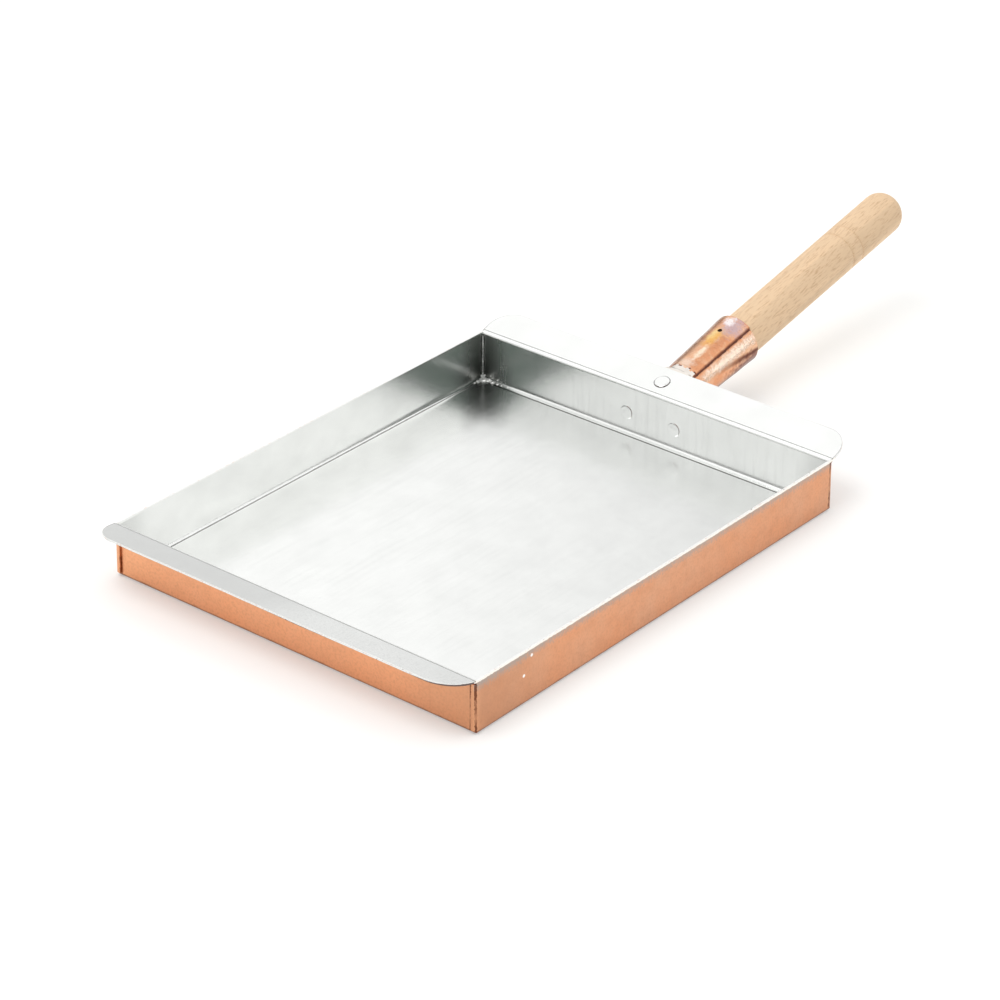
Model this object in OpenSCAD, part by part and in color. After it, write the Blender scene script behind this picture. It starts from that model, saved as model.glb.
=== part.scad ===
// Square copper pan for rolled omelettes, tinned inside, with a riveted socket and a wooden handle.
// Origin at the centre of the pan's underside: X across the pan, +Y towards the handle, +Z up.

/* [Pan] */
// Outer width of the pan, between its side walls
pan_w = 272.4; // [160:0.1:400]
// Outer length of the pan, between its front and rear walls
pan_l = 332.4; // [160:0.1:450]
// Height of the walls
wall_h = 34.2; // [30:0.1:60]
// Thickness of the copper sheet
sheet_t = 1.2; // [0.8:0.1:2]
// Inside radius of the bend between the floor and the walls
floor_bend_r = 1.2; // [0.6:0.1:3]
// Outside radius of the upright corners
corner_r = 2.2; // [1.5:0.1:4]
// Width of the side walls' edges that are lapped round onto the front and rear walls
lap_w = 3.8; // [3:0.1:10]

/* [Flanges] */
// Inside radius of the folds where the front and rear walls turn out into their flanges
fold_r = 0.8; // [0.4:0.1:1.5]
// Width of the front flange, out from its fold
front_flange_w = 18.6; // [10:0.1:30]
// Rise of the front flange above the horizontal, in degrees
front_flange_tilt = 5; // [0:1:20]
// Corner radius of the front flange on the left
front_left_r = 13.5; // [5:0.5:25]
// Corner radius of the front flange on the right
front_right_r = 21.5; // [5:0.5:25]
// Width of the rear flange, out from its fold
rear_flange_w = 22.8; // [18:0.1:32]
// Rise of the rear flange above the horizontal, in degrees
rear_flange_tilt = 18; // [14:1:22]
// Corner radius of the rear flange
rear_corner_r = 17; // [5:0.5:25]

/* [Tinning] */
// Thickness of the tin inside the pan and on its flanges
tin_t = 0.25; // [0.15:0.05:0.5]
// Radius that the tin leaves between the floor and the walls
tin_fillet_r = 4; // [2:0.1:6]
// Leg of the solder fillet in each upright corner
solder_leg = 2.6; // [1.5:0.1:4]

/* [Socket] */
// Length of the socket along its axis, from the rear wall to its mouth
socket_l = 90.4; // [70:0.1:130]
// Outer diameter of the socket's inner turn at the rear wall
socket_wall_d = 25.9; // [22:0.1:27]
// Rise of the socket and the handle above the horizontal, in degrees
socket_tilt = 11.7; // [8:0.1:14]
// Narrowest gap between the handle and the socket at its mouth
mouth_gap = 1.05; // [0.5:0.05:2]
// Direction of the lap seam, in degrees from the top towards the right
seam_angle = 43; // [20:1:60]
// Angle of sheet that lies doubled under the seam, in degrees
lap_angle = 25; // [10:1:40]
// Width of the flat tab under the rear flange
tab_w = 19; // [14:0.5:24]
// Length of the tab that shows past the rear flange
tab_out = 3.6; // [2:0.1:8]
// Height of the two wings that lie on the rear wall
wing_h = 16; // [12:0.5:18]
// Width of sheet that each wing keeps outside its rivet
wing_edge = 6.6; // [5:0.1:10]
// Corner radius of the wings
wing_r = 4; // [1:0.5:5]

/* [Rivets] */
// Diameter of the rivets' shanks
rivet_d = 3.8; // [3:0.1:5]
// Diameter of the flange rivet's head
flange_head_d = 10.5; // [8:0.1:14]
// Height of the flange rivet's head
flange_head_h = 1.3; // [0.6:0.1:3]
// Distance of the flange rivet from the fold
flange_rivet_out = 10.9; // [8:0.1:12]
// Diameter of the wall rivets' heads, inside the pan
wall_head_d = 9; // [7:0.1:12]
// Height of the wall rivets' heads
wall_head_h = 0.6; // [0.4:0.1:2]
// Gap between each wall rivet's shank and the side of the socket
wall_rivet_gap = 3.55; // [2.5:0.05:6]
// Depth of the wall rivets' centres below the rim
wall_rivet_drop = 19; // [15:0.1:22]
// Diameter of the rivets' hammered tails
tail_d = 8; // [6.5:0.1:8.5]
// Height of the rivets' hammered tails
tail_h = 2; // [1:0.1:3]

/* [Handle] */
// Diameter of the handle at the socket's mouth
handle_d = 28.4; // [26:0.1:34]
// Diameter of the handle at its far end
handle_end_d = 28.8; // [26:0.1:36]
// Length of the handle outside the socket
handle_l = 172.3; // [120:0.1:240]
// Length of the handle inside the socket
handle_insert = 56; // [40:1:64]
// Rounding radius of the handle's far end
handle_end_r = 11.6; // [4:0.1:12.5]
// Distance of the last turned ring from the handle's far end
ring_from_end = 52.4; // [30:0.1:80]
// Distance between the two turned rings
ring_pitch = 10.4; // [5:0.1:20]
// Width of each turned ring
ring_w = 1.1; // [0.5:0.1:2]

/* [Nail] */
// Diameter of the nail through the socket into the handle
nail_d = 3; // [2:0.1:4]
// Length of the nail
nail_l = 15; // [10:0.5:18]
// Distance of the nail from the socket's mouth
nail_from_mouth = 16; // [8:0.1:30]
// Depth of the nail's top below the socket's surface
nail_sink = 0.8; // [0.2:0.1:1.2]

/* [Hidden] */
$fn = 96;

// Radial clearance of the rivets and the nail in their holes
hole_fit = 0.02;
// Clearance of the handle's taper in the socket
taper_fit = 0.05;
// Length by which cutting solids reach past what they cut
reach = 10;
// Length by which a flange runs past its edge before it is trimmed
trim_over = 1;
// Width of flat flange beside the fold that the corners' rounding leaves alone
trim_start = 0.3;
// Depth by which the socket's outer turn sinks into its inner turn, so that they are one piece
turn_bite = 0.1;
// Height by which the outer turn stands proud where the inner turn runs on into it
turn_step = 0.05;
// Angle by which the inner turn runs on inside the outer turn's thickness there
turn_overlap = 4;
// Angle between the handle's ring grooves' two flanks and their common normal
groove_angle = 45;
// Height of the straight rim under a rivet's dome
land_h = 0.3;
// Length of the nail's point
nail_tip = 4;
// Distance of the tab's inner end from the fold
tab_start = 2;
// Thickness of the solder fillets' edges
solder_edge = 0.15;
// Gap between the lapped edges or the solder and the folds above them
under_fold = 0.4;
// Gap between the socket's walls and the edges of the core that clears its wings and its tab
core_inset = 0.05;
// Number of flats that round each fold
fold_steps = 8;

// The two flanges: end of the pan, tilt, width, left and right corner radius
END = 0;
TILT = 1;
WIDTH = 2;
LEFT_R = 3;
RIGHT_R = 4;
front = [-1, front_flange_tilt, front_flange_w, front_left_r, front_right_r];
rear = [1, rear_flange_tilt, rear_flange_w, rear_corner_r, rear_corner_r];

// The pan's inner length and width, inside the copper and inside the tin
copper_in_w = pan_w - 2 * sheet_t;
copper_in_l = pan_l - 2 * sheet_t;
tin_in_w = copper_in_w - 2 * tin_t;
tin_in_l = copper_in_l - 2 * tin_t;

// The socket is a cone whose inner turn has these outer radii
socket_wall_r = socket_wall_d / 2;
socket_mouth_r = handle_d / 2 + mouth_gap + sheet_t;
// The outer turn's centre lies this far towards the seam, and its radius is larger by the same
turn_shift = sheet_t / 2;
// Height of the socket's axis at the rear wall: its top meets the flange's underside there
socket_z = wall_h - sheet_t / cos(rear_flange_tilt) - socket_wall_r / cos(socket_tilt);
// Places of the wall rivets
wall_rivet_x = socket_wall_r + wall_rivet_gap + rivet_d / 2;
wall_rivet_z = wall_h - wall_rivet_drop;

// Height of the centre of a flange's fold
function fold_z(f) =
    wall_h - (fold_r + sheet_t) * cos(f[TILT])
    + (fold_r - (fold_r + sheet_t) * sin(f[TILT])) * tan(f[TILT]);

// Distance from the fold line at which a flange becomes flat
function flange_start(f) = fold_r * cos(f[TILT]) + (fold_z(f) - wall_h) * sin(f[TILT]);

// Line at radius r round a fold's centre and out along its flange, past the flange's edge
function fold_path(f, r) = concat(
    [for (i = [0:fold_steps]) r * away(180 - i * (90 - f[TILT]) / fold_steps)],
    [r * away(90 + f[TILT]) + (f[WIDTH] - flange_start(f) + trim_over) * away(f[TILT])]
);

// Unit vector at an angle
function away(a) = [cos(a), sin(a)];

// A list of points in the other direction
function backwards(p) = [for (i = [len(p) - 1:-1:0]) p[i]];

// Outer radius of the socket's inner turn at a distance from the rear wall
function socket_r(s) = socket_wall_r + (socket_mouth_r - socket_wall_r) * s / socket_l;

// Distance from the axis to the socket's surface, straight up
function socket_top_r(s) = socket_r(s) + turn_shift * (1 + cos(seam_angle)) + turn_step;

// Frames

// The frame of a flange: X across the pan, Y out along the flange and Z square to it
module at_flange(f) {
    mirror([0, f[END] < 0 ? 1 : 0, 0])
    translate([0, pan_l / 2, wall_h])
    rotate([f[TILT], 0, 0])
    children();
}

// The frame of the socket: Z along its axis from the rear wall, X across the pan and -Y upward
module at_socket() {
    translate([0, pan_l / 2, socket_z])
    rotate([socket_tilt - 90, 0, 0])
    children();
}

// The frame of a wall rivet: Z out of the rear wall's tinned face into the pan
module at_wall_rivet(side) {
    translate([side * wall_rivet_x, pan_l / 2 - sheet_t - tin_t, wall_rivet_z])
    rotate([90, 0, 0])
    children();
}

// The frame of the flange rivet: Z out of the flange's tinned face
module at_flange_rivet() {
    at_flange(rear)
    translate([0, flange_rivet_out, tin_t])
    children();
}

// Profiles

module rounded_rect(w, l, r) {
    square([w - 2 * r, l], center = true);
    square([w, l - 2 * r], center = true);
    for (sx = [-1, 1])
        for (sy = [-1, 1])
            translate([sx * (w / 2 - r), sy * (l / 2 - r)])
            circle(r);
}

// Upright section of a tray, with its two lower edges rounded
module tray_profile(w, z0, r) {
    translate([-w / 2, z0 + r])
    square([w, wall_h - z0 - r]);
    translate([r - w / 2, z0])
    square([w - 2 * r, wall_h - z0]);
    for (side = [-1, 1])
        translate([side * (w / 2 - r), z0 + r])
        circle(r);
}

// Solid tray from z0 up to the rim, with rounded lower edges
module tray(w, l, z0, r) {
    intersection() {
        rotate([90, 0, 0])
        linear_extrude(l, center = true)
        tray_profile(w, z0, r);
        rotate([90, 0, 90])
        linear_extrude(w, center = true)
        tray_profile(l, z0, r);
    }
}

// One layer of a fold and its flange, between two radii round the fold's centre
module flange_layer(f, r_in, r_out) {
    difference() {
        mirror([0, f[END] < 0 ? 1 : 0, 0])
        translate([0, pan_l / 2 + fold_r, fold_z(f)])
        rotate([90, 0, 90])
        linear_extrude(pan_w, center = true)
        polygon(concat(fold_path(f, r_out), backwards(fold_path(f, r_in))));
        at_flange(f)
        linear_extrude(2 * reach, center = true)
        flange_trim(f);
    }
}

// What is trimmed off a flange: the stretch past its edge, and its two corners
module flange_trim(f) {
    translate([-pan_w, f[WIDTH]])
    square([2 * pan_w, 2 * trim_over]);
    intersection() {
        union() {
            corner_trim(f[WIDTH], f[RIGHT_R]);
            mirror([1, 0])
            corner_trim(f[WIDTH], f[LEFT_R]);
        }
        translate([-pan_w, flange_start(f) + trim_start])
        square([2 * pan_w, f[WIDTH]]);
    }
}

// What rounding takes off the right corner of a flange of this width
module corner_trim(w, r) {
    translate([pan_w / 2 - r, w - r])
    difference() {
        square(r + trim_over);
        circle(r);
    }
}

// Space above the fold's centre where an end wall gives way to its fold
module fold_room(f, w, depth) {
    mirror([0, f[END] < 0 ? 1 : 0, 0])
    translate([-w / 2, pan_l / 2 - depth, fold_z(f)])
    cube([w, depth + reach, wall_h - fold_z(f) + reach]);
}

// Rivets

// A rivet: domed head above z = 0, shank through the sheets and hammered tail below them
module rivet(grip, head_d, head_h) {
    dome(head_d, head_h);
    translate([0, 0, -grip])
    cylinder(d = rivet_d, h = grip);
    translate([0, 0, -grip])
    mirror([0, 0, 1])
    dome(tail_d, tail_h);
}

// Low dome on a straight rim
module dome(d, h) {
    cap_h = h - land_h;
    cap_r = (d * d / 4 + cap_h * cap_h) / (2 * cap_h);
    rotate_extrude()
    intersection() {
        square([d / 2, h]);
        translate([0, h - cap_r])
        circle(cap_r);
    }
}

module rivet_hole(grip) {
    translate([0, 0, -grip - reach])
    cylinder(d = rivet_d + 2 * hole_fit, h = grip + 2 * reach);
}

// Pan

// Plan of the pan's walls: its corners are rounded where the side walls turn
module wall_plan() {
    intersection() {
        square([pan_w, pan_l], center = true);
        rounded_rect(pan_w, pan_l + 2 * sheet_t, corner_r);
    }
}

// The side walls' edges, turned round the corners and lapped on the front and rear walls
module corner_laps() {
    bottom = floor_bend_r + sheet_t;
    top = min(fold_z(front), fold_z(rear)) - under_fold;
    translate([0, 0, bottom])
    linear_extrude(top - bottom)
    intersection() {
        rounded_rect(pan_w, pan_l + 2 * sheet_t, corner_r);
        for (sx = [-1, 1])
            for (sy = [-1, 1])
                translate([sx * (pan_w - lap_w) / 2, sy * (pan_l + sheet_t) / 2])
                square([lap_w, sheet_t], center = true);
    }
}

module pan_walls() {
    difference() {
        intersection() {
            tray(pan_w, pan_l, 0, floor_bend_r + sheet_t);
            linear_extrude(wall_h)
            wall_plan();
        }
        tray(copper_in_w, copper_in_l, sheet_t, floor_bend_r);
        fold_room(front, copper_in_w, sheet_t);
        fold_room(rear, copper_in_w, sheet_t);
    }
}

module pan_body() {
    color([0.82, 0.55, 0.41])
    difference() {
        union() {
            pan_walls();
            corner_laps();
            for (f = [front, rear])
                flange_layer(f, fold_r, fold_r + sheet_t);
        }
        at_flange_rivet() rivet_hole(0);
        for (side = [-1, 1])
            at_wall_rivet(side) rivet_hole(0);
    }
}

// Tinning

// The tin on a flange: its fold is only as wide as the space between the side walls
module tin_flange(f) {
    r = fold_r + sheet_t;
    difference() {
        flange_layer(f, r, r + tin_t);
        for (side = [0, 1])
            mirror([side, 0, 0])
            at_flange(f)
            translate([copper_in_w / 2, -reach, -reach])
            cube([reach, reach + flange_start(f), 2 * reach]);
    }
}

module tin_lining() {
    color([0.86, 0.87, 0.87])
    difference() {
        union() {
            difference() {
                tray(copper_in_w, copper_in_l, sheet_t, floor_bend_r);
                tray(tin_in_w, tin_in_l, sheet_t + tin_t, tin_fillet_r);
                fold_room(front, tin_in_w, sheet_t + tin_t);
                fold_room(rear, tin_in_w, sheet_t + tin_t);
            }
            tin_flange(front);
            tin_flange(rear);
        }
        at_flange_rivet() rivet_hole(0);
        for (side = [-1, 1])
            at_wall_rivet(side) rivet_hole(0);
    }
}

// Hollow fillet of solder up one inner corner of the pan
module corner_solder(side, end) {
    top = fold_z(end < 0 ? front : rear) - under_fold;
    color([0.74, 0.75, 0.74])
    intersection() {
        tray(tin_in_w, tin_in_l, sheet_t + tin_t, tin_fillet_r);
        mirror([side < 0 ? 1 : 0, 0, 0])
        mirror([0, end < 0 ? 1 : 0, 0])
        translate([tin_in_w / 2, tin_in_l / 2, 0])
        linear_extrude(top)
        difference() {
            translate([-solder_leg, -solder_leg])
            square(solder_leg + reach);
            translate([-solder_leg - solder_edge, -solder_leg - solder_edge])
            circle(solder_leg);
        }
    }
}

// Socket

// Section through one turn of the socket, between two radii added to its own
module turn_section(inner, outer) {
    polygon([
        [socket_r(-reach) + inner, -reach],
        [socket_r(-reach) + outer, -reach],
        [socket_r(socket_l) + outer, socket_l],
        [socket_r(socket_l) + inner, socket_l]
    ]);
}

// The rolled sheet: an inner turn right of the seam, and an outer turn left of it that laps over
// the inner turn's edge
module socket_turns() {
    rotate([0, 0, seam_angle - 90 - lap_angle])
    rotate_extrude(angle = 180 + lap_angle + turn_overlap)
    turn_section(-sheet_t, 0);
    rotate([0, 0, seam_angle - 90])
    translate([turn_shift, 0, 0])
    rotate([0, 0, 180])
    rotate_extrude(angle = 180)
    turn_section(turn_shift - sheet_t - turn_bite, turn_shift + turn_step);
}

// Core that clears the wings and the tab's bend from the inside of the rolled sheet: its surface
// runs inside the sheet's thickness all round
module socket_core() {
    at_socket()
    rotate_extrude()
    polygon([
        [0, -reach],
        [socket_r(-reach) - core_inset, -reach],
        [socket_r(socket_l + reach) - core_inset, socket_l + reach],
        [0, socket_l + reach]
    ]);
}

// The two wings on the rear wall, as one plate behind the socket
module wing_plate() {
    w = 2 * (wall_rivet_x + wing_edge);
    translate([0, pan_l / 2 + sheet_t, wall_rivet_z])
    rotate([90, 0, 0])
    linear_extrude(sheet_t)
    rounded_rect(w, wing_h, wing_r);
}

// The flat tab under the flange
module tab_plate() {
    at_flange(rear)
    translate([-tab_w / 2, tab_start, -2 * sheet_t])
    cube([tab_w, rear_flange_w + tab_out - tab_start, sheet_t]);
}

// Where the tab bends down into the socket, past the flange
module tab_bend() {
    drop = socket_wall_r - sqrt(socket_wall_r * socket_wall_r - tab_w * tab_w / 4);
    at_flange(rear)
    translate([-tab_w / 2, rear_flange_w + tab_out - sheet_t, -2 * sheet_t - drop])
    cube([tab_w, sheet_t, sheet_t + drop]);
}

// Everything on the pan's side of the socket: the rear wall, the flange and the fold between them
module pan_side() {
    translate([-pan_w, pan_l / 2 - 2 * reach, -wall_h])
    cube([2 * pan_w, 2 * reach, 3 * wall_h]);
    at_flange(rear)
    translate([-pan_w / 2, -reach, -sheet_t])
    cube([pan_w, rear_flange_w + 2 * reach, 2 * reach]);
    translate([0, pan_l / 2, wall_h - sheet_t / cos(rear_flange_tilt)])
    rotate([0, 90, 0])
    cylinder(r = fold_r, h = pan_w, center = true);
}

module handle_socket() {
    grip = tin_t + 2 * sheet_t;
    color([0.80, 0.50, 0.35])
    difference() {
        union() {
            at_socket() socket_turns();
            difference() {
                union() {
                    wing_plate();
                    tab_bend();
                }
                socket_core();
            }
            tab_plate();
        }
        pan_side();
        at_flange_rivet() rivet_hole(grip);
        at_flange_rivet()
        translate([0, 0, -grip - tail_h])
        cylinder(d = tail_d + 4 * hole_fit, h = tail_h);
        for (side = [-1, 1])
            at_wall_rivet(side) rivet_hole(grip);
        at_nail()
        translate([0, 0, -nail_l / 2])
        cylinder(d = nail_d + 2 * hole_fit, h = nail_l);
    }
}

module flange_rivet() {
    color([0.84, 0.85, 0.85])
    at_flange_rivet() rivet(tin_t + 2 * sheet_t, flange_head_d, flange_head_h);
}

module wall_rivet(side) {
    color([0.84, 0.85, 0.85])
    at_wall_rivet(side) rivet(tin_t + 2 * sheet_t, wall_head_d, wall_head_h);
}

// Handle

// Half section of the handle, from its inner end to its far end
module handle_section() {
    end_r = handle_end_d / 2;
    difference() {
        union() {
            polygon([
                [0, -handle_insert],
                [handle_d / 2, -handle_insert],
                [handle_d / 2, 0],
                [end_r, handle_l - handle_end_r],
                [0, handle_l - handle_end_r]
            ]);
            translate([0, handle_l - 2 * handle_end_r])
            square([end_r - handle_end_r, 2 * handle_end_r]);
            translate([end_r - handle_end_r, handle_l - handle_end_r])
            intersection() {
                circle(handle_end_r);
                square(handle_end_r);
            }
        }
        for (i = [0, 1])
            translate([end_r, handle_l - ring_from_end - i * ring_pitch])
            rotate(groove_angle)
            square(ring_w / sqrt(2), center = true);
    }
}

// Room for the handle: the socket's taper inside, and clear space past the mouth
module handle_room() {
    inner = -sheet_t - turn_bite - taper_fit;
    rotate_extrude()
    polygon([
        [0, 0],
        [socket_r(0) + inner, 0],
        [socket_r(socket_l) + inner, socket_l],
        [handle_end_d, socket_l],
        [handle_end_d, socket_l + handle_l + reach],
        [0, socket_l + handle_l + reach]
    ]);
}

module handle() {
    color([0.87, 0.74, 0.56])
    difference() {
        at_socket()
        intersection() {
            translate([0, 0, socket_l])
            rotate_extrude()
            handle_section();
            handle_room();
        }
        at_nail()
        translate([0, 0, -nail_l])
        cylinder(d = nail_d, h = nail_l + reach);
    }
}

// The frame of the nail: Z up out of the socket, with the nail's top at its origin
module at_nail() {
    s = socket_l - nail_from_mouth;
    at_socket()
    translate([0, -socket_top_r(s) + nail_sink, s])
    rotate([90, 0, 0])
    children();
}

module handle_nail() {
    color([0.24, 0.22, 0.21])
    at_nail() {
        translate([0, 0, nail_tip - nail_l])
        cylinder(d = nail_d, h = nail_l - nail_tip);
        translate([0, 0, -nail_l])
        cylinder(d1 = nail_d / 4, d2 = nail_d, h = nail_tip);
    }
}

pan_body();
tin_lining();
corner_solder(-1, -1);  // corner_solder_front_left
corner_solder(1, -1);  // corner_solder_front_right
corner_solder(-1, 1);  // corner_solder_rear_left
corner_solder(1, 1);  // corner_solder_rear_right
handle_socket();
flange_rivet();
wall_rivet(-1);  // wall_rivet_left
wall_rivet(1);  // wall_rivet_right
handle();
handle_nail();
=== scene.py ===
import math

import bmesh
import bpy
from bpy.props import FloatProperty, FloatVectorProperty, PointerProperty
from bpy.types import Operator, Panel, PropertyGroup
from mathutils import Matrix, Vector, noise


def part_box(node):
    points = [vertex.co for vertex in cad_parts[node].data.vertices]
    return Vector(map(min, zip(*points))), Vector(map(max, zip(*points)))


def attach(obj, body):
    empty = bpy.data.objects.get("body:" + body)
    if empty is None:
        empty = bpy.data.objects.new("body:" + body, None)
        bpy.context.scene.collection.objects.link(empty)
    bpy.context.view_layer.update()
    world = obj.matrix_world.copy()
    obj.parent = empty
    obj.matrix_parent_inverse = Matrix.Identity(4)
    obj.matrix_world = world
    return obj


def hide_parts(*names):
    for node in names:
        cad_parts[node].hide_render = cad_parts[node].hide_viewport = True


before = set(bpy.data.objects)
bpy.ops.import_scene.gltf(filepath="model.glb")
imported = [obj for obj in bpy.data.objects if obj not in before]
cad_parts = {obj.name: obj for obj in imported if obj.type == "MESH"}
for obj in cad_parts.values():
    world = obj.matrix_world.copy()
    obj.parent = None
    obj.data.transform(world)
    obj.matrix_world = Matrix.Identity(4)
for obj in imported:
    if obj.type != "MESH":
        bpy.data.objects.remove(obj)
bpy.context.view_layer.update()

bl_info = {
    "name": "Copper omelette pan",
    "version": (1, 0, 0),
    "blender": (4, 5, 0),
    "location": "3D View > Sidebar > Pan",
    "description": "Builds a square tinned copper pan with a riveted socket and a beech handle",
    "category": "Object",
}

MM = 0.001

# Outside size of the pan: half its width and length, and the height of its walls
HALF_W, HALF_L, WALL_H = 136.2 * MM, 166.2 * MM, 34.2 * MM
SHEET, TIN = 1.2 * MM, 0.25 * MM
# Faces of the tin inside the pan: on the side walls, the end walls and the floor
TIN_X, TIN_Y, TIN_Z = HALF_W - SHEET - TIN, HALF_L - SHEET - TIN, SHEET + TIN
# Rise of the two flanges, and of the socket and handle
FRONT_TILT, REAR_TILT, SOCKET_TILT = math.radians(5), math.radians(18), math.radians(11.7)
# Rivets: how far out along the rear flange, and how far aside and up on the rear wall
FLANGE_RIVET, WALL_RIVET_X, WALL_RIVET_Z = 10.9 * MM, 18.4 * MM, 15.2 * MM
# Length of the socket, its radius at the wall and what it widens by up to its mouth
SOCKET_L, SOCKET_R, SOCKET_FLARE = 90.4 * MM, 12.95 * MM, 3.5 * MM
# Gap left between one sheet and the next, and the socket's sheet as drawn within its gaps
GAP, THIN_SHEET = 0.02 * MM, SHEET - 0.06 * MM
# How near a cut passes a point to run through it
TOUCH = 1e-7
UP = Vector((0, 0, 1))

# The frame of the rear flange: Y out along it, Z square to it
REAR_FLANGE = Matrix.Translation((0, HALF_L, WALL_H)) @ Matrix.Rotation(REAR_TILT, 4, "X")
# The frame of the socket: Z along its axis from the rear wall, -Y upward
SOCKET_FRAME = (Matrix.Translation((0, HALF_L, 19.713 * MM))
                @ Matrix.Rotation(SOCKET_TILT - math.pi / 2, 4, "X"))


def colour(code):
    """An sRGB hex colour as the linear red, green and blue that Blender works in."""
    parts = [int(code[i:i + 2], 16) / 255 for i in (1, 3, 5)]
    return tuple(c / 12.92 if c <= 0.04045 else ((c + 0.055) / 1.055) ** 2.4 for c in parts)


def ease(low, high, value):
    """0 below low, 1 above high, and a smooth rise between them."""
    t = min(max((value - low) / (high - low), 0.0), 1.0)
    return t * t * (3 - 2 * t)


def ripple(x, y=0.0, seed=0.0):
    """Smooth variation from 0 to 1 that repeats nowhere on the pan."""
    return 0.5 + 0.5 * noise.noise(Vector((x, y, 7.3 * seed + 0.37)))


# Sizes and colours that a user may change

def length(name, description, default, low, high):
    """A length, its default and limits given in mm."""
    return FloatProperty(name=name, description=description, default=default * MM,
                         min=low * MM, max=high * MM, unit="LENGTH")


def paint(name, description, code):
    """A colour, given as a hex code."""
    return FloatVectorProperty(name=name, description=description, default=colour(code),
                               min=0, max=1, subtype="COLOR")


class SheetSizes(PropertyGroup):
    """How unevenly the sheet was bent and cut."""
    wave: length("Hand wave", "How far the walls and flanges wander from straight", 0.5, 0, 1.5)
    cut_wave: length("Cut edge", "How far the shears' cut wanders along the flanges", 0.25, 0, 1)
    pitch: length("Grid pitch", "Spacing of the cuts that let the sheet bend", 6, 3, 20)
    edge: length("Edge rounding", "Width of the rounding on the sheet's edges", 0.18, 0.02, 0.4)
    copper: paint("Copper", "Colour of the copper", "#E2A077")
    tin: paint("Tin", "Colour of the wiped tin", "#F6F7F5")


class SolderSizes(PropertyGroup):
    """The solder that closes the corners."""
    leg: length("Leg", "Width of the solder on each wall", 2.6, 1, 5)
    lump: length("Lumps", "Height of the solder's lumps", 0.5, 0, 1.5)
    solder: paint("Solder", "Colour of the solder", "#EDEDEA")


class RivetSizes(PropertyGroup):
    """The three rivets."""
    flange_head: length("Flange head", "Diameter of the flange rivet's head", 9.6, 8, 14)
    wall_head: length("Wall heads", "Diameter of the wall rivets' heads", 9, 7, 12)
    hammering: length("Hammering", "Depth of the hammer's marks on the heads", 0.18, 0, 0.4)


class SocketSizes(PropertyGroup):
    """The rolled socket."""
    seam: FloatProperty(
        name="Seam", description="Direction of the seam, from the top towards the right",
        default=math.radians(43), min=0, max=math.radians(80), unit="ROTATION")
    lap: FloatProperty(
        name="Lap", description="Angle of sheet that lies doubled under the seam",
        default=math.radians(25), min=math.radians(5), max=math.radians(60), unit="ROTATION")
    dents: length("Dents", "Depth of the hammer's marks", 0.35, 0, 1)
    ragged: length("Ragged mouth", "How far the mouth's edge wanders", 0.7, 0, 2)


class HandleSizes(PropertyGroup):
    """The turned handle."""
    mouth_d: length("Diameter at the socket", "Diameter where the wood leaves the socket",
                    28.4, 24, 30)
    end_d: length("Diameter at the end", "Diameter before the far end rounds off", 28.74, 24, 34)
    ring_depth: length("Ring depth", "Depth of the two turned rings", 0.5, 0.1, 1)
    beech: paint("Beech", "Colour of the bare beech", "#F1D0AA")
    fleck: paint("Flecks", "Colour of the beech's flecks", "#B98A60")


class StageSizes(PropertyGroup):
    """Floor, light and camera."""
    floor: FloatProperty(
        name="Floor", description="Side of the square floor",
        default=9.0, min=2, max=20, unit="LENGTH")
    paper: paint("Floor colour", "Colour of the pale floor", "#D9D9D8")
    lift: FloatProperty(
        name="Floor glow", description="Light that the floor adds to soften the shadows",
        default=0.5, min=0, max=1)
    dome: FloatProperty(
        name="Dome", description="Brightness of the white surroundings",
        default=1.1, min=0, max=4)
    overhead: FloatProperty(
        name="Overhead light", description="Power of the soft light above", default=16,
        min=0, max=500, unit="POWER")


# Materials

def set_up(mat, node, inputs):
    """Sets or links a node's inputs, listed in their order or else by name or number. A colour
    is a hex code or three numbers."""
    for key, value in inputs.items() if isinstance(inputs, dict) else enumerate(inputs):
        socket = node.inputs[key]
        if isinstance(value, bpy.types.NodeSocket):
            mat.node_tree.links.new(value, socket)
        elif socket.type == "RGBA":
            socket.default_value = (*(colour(value) if isinstance(value, str) else value), 1.0)
        else:
            socket.default_value = value


def add(mat, kind, inputs=(), operation=None, **settings):
    """Adds a node with its inputs and settings, and gives the first output that it uses."""
    node = mat.node_tree.nodes.new("ShaderNode" + kind)
    if operation:
        settings["operation"] = operation
    for name, value in settings.items():
        setattr(node, name, value)
    set_up(mat, node, inputs)
    return next((output for output in node.outputs if output.enabled), node)


def lay_over(mat, tone, *layers):
    """Lays colours over a tone, each as strongly as its shares multiplied together. A share is
    an output or a number, or else a measure, two values of it and the shares at those two."""
    for over, *shares in layers:
        strength = None
        for share in shares:
            if isinstance(share, tuple):
                share = add(mat, "MapRange", share)
            if strength is not None:
                share = add(mat, "Math", [strength, share], "MULTIPLY")
            strength = share
        tone = add(mat, "Mix", {0: strength, 6: tone, 7: over}, data_type="RGBA")
    return tone


def blank_material(name):
    """A material with a shader and an output, and the place that its patterns are fixed to."""
    mat = bpy.data.materials.new(name)
    mat.use_nodes = True
    mat.node_tree.nodes.clear()
    surface = add(mat, "BsdfPrincipled")
    add(mat, "OutputMaterial", {"Surface": surface})
    return mat, surface.node, add(mat, "TexCoord").node.outputs["Object"]


def measures(mat, place):
    """X, Y and Z of a place, and how far it lies aside and ahead of the pan's middle."""
    x, y, z = add(mat, "SeparateXYZ", [place]).node.outputs
    return x, y, z, *(add(mat, "Math", [way], "ABSOLUTE") for way in (x, y))


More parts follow.
